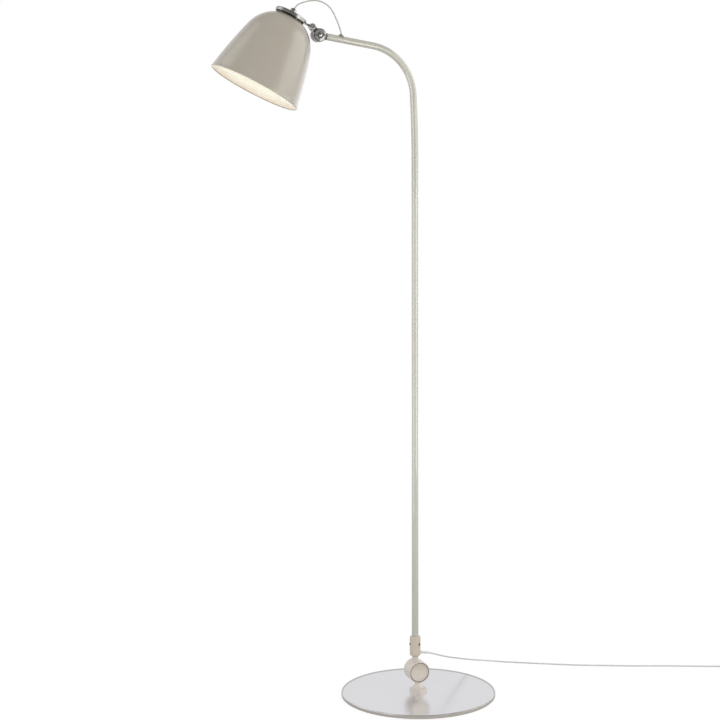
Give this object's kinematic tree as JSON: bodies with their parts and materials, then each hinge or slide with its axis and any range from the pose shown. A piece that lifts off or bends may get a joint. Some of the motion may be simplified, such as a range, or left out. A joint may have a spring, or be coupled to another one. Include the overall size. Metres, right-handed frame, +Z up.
{
  "type": "reading floor lamp",
  "caption": "Slender floor lamp: round weighted base, tilting pole that bends over into an arm, and a bell shade on a chrome hinge, with its mains cord.",
  "frame": {"origin": "centre of the base plate's underside, on the floor and on the stem's axis", "axes": "+Z up along the pole, -X the way the arm reaches, Y along both hinge axes with -Y the front"},
  "size_m": [1.0781, 0.3743, 1.3355],
  "materials": {
    "lacquer": "glossy warm grey-beige lacquer",
    "shade_lacquer": "glossy warm grey-beige lacquer, cream inside",
    "chrome": "polished chrome plate",
    "zinc_steel": "zinc plated steel",
    "dark_steel": "blackened steel",
    "felt": "dark felt",
    "dark_rubber": "matte dark rubber",
    "black_plastic": "matte black",
    "ceramic_white": "white insulator",
    "cord_grey": "smooth light grey sheath",
    "tie_black": "matte black",
    "nickel_brass": "nickel plated",
    "bulb_metal": "bright rolled metal",
    "opal_glass": "frosted"
  },
  "bodies": {
    "base": {"base_plate": "lacquer", "base_felt": "felt", "base_bolt": "zinc_steel", "base_bolt_washer": "zinc_steel", "tilt_hinge_lower_half": "lacquer", "tilt_hinge_friction_disc": "black_plastic", "tilt_hinge_bolt": "zinc_steel", "tilt_hinge_spring_washer": "zinc_steel", "tilt_hinge_nut": "zinc_steel", "tilt_hinge_front_cap": "lacquer", "mains_cord": "cord_grey", "mains_coil": "cord_grey", "plug_tail": "cord_grey", "plug_body": "cord_grey", "plug_pins": "nickel_brass", "plug_strain_relief": "cord_grey", "coil_tie": "tie_black"},
    "pole": {"tilt_hinge_upper_half": "lacquer", "tilt_hinge_rear_cap": "lacquer", "pole_sleeve": "lacquer", "sleeve_set_screws": "dark_steel", "sleeve_strain_relief": "cord_grey", "lower_pole_tube": "lacquer", "pole_joiner": "zinc_steel", "upper_pole_tube": "lacquer", "arm_cord_grommet": "dark_rubber", "inner_flex": "cord_grey", "head_joint_arm_half": "chrome", "head_joint_screw": "chrome", "head_joint_nut": "chrome", "head_joint_washer": "black_plastic", "head_cord": "cord_grey"},
    "head": {"head_joint_shade_half": "chrome", "shade_bracket": "chrome", "bracket_screw": "chrome", "bracket_screw_nut": "chrome", "crown_cap": "chrome", "crown_gasket": "dark_rubber", "cord_bushing": "chrome", "crown_nipple": "zinc_steel", "crown_nut": "zinc_steel", "shade": "shade_lacquer", "lampholder": "black_plastic", "lampholder_contact": "ceramic_white", "bulb_cap": "bulb_metal", "bulb_glass": "opal_glass", "holder_lead": "cord_grey"}
  },
  "joints": [
    {"name": "base_tilt", "type": "hinge", "parent": "base", "child": "pole", "pos_m": [0, 0, 0.047], "axis": [0, 1, 0], "range_deg": [-20, 25], "deforming": ["mains_cord"]},
    {"name": "head_tilt", "type": "hinge", "parent": "pole", "child": "head", "pos_m": [-0.19023, 0.0163, 1.27136], "axis": [0, 1, 0], "range_deg": [-50, 60], "deforming": ["head_cord"]}
  ]
}
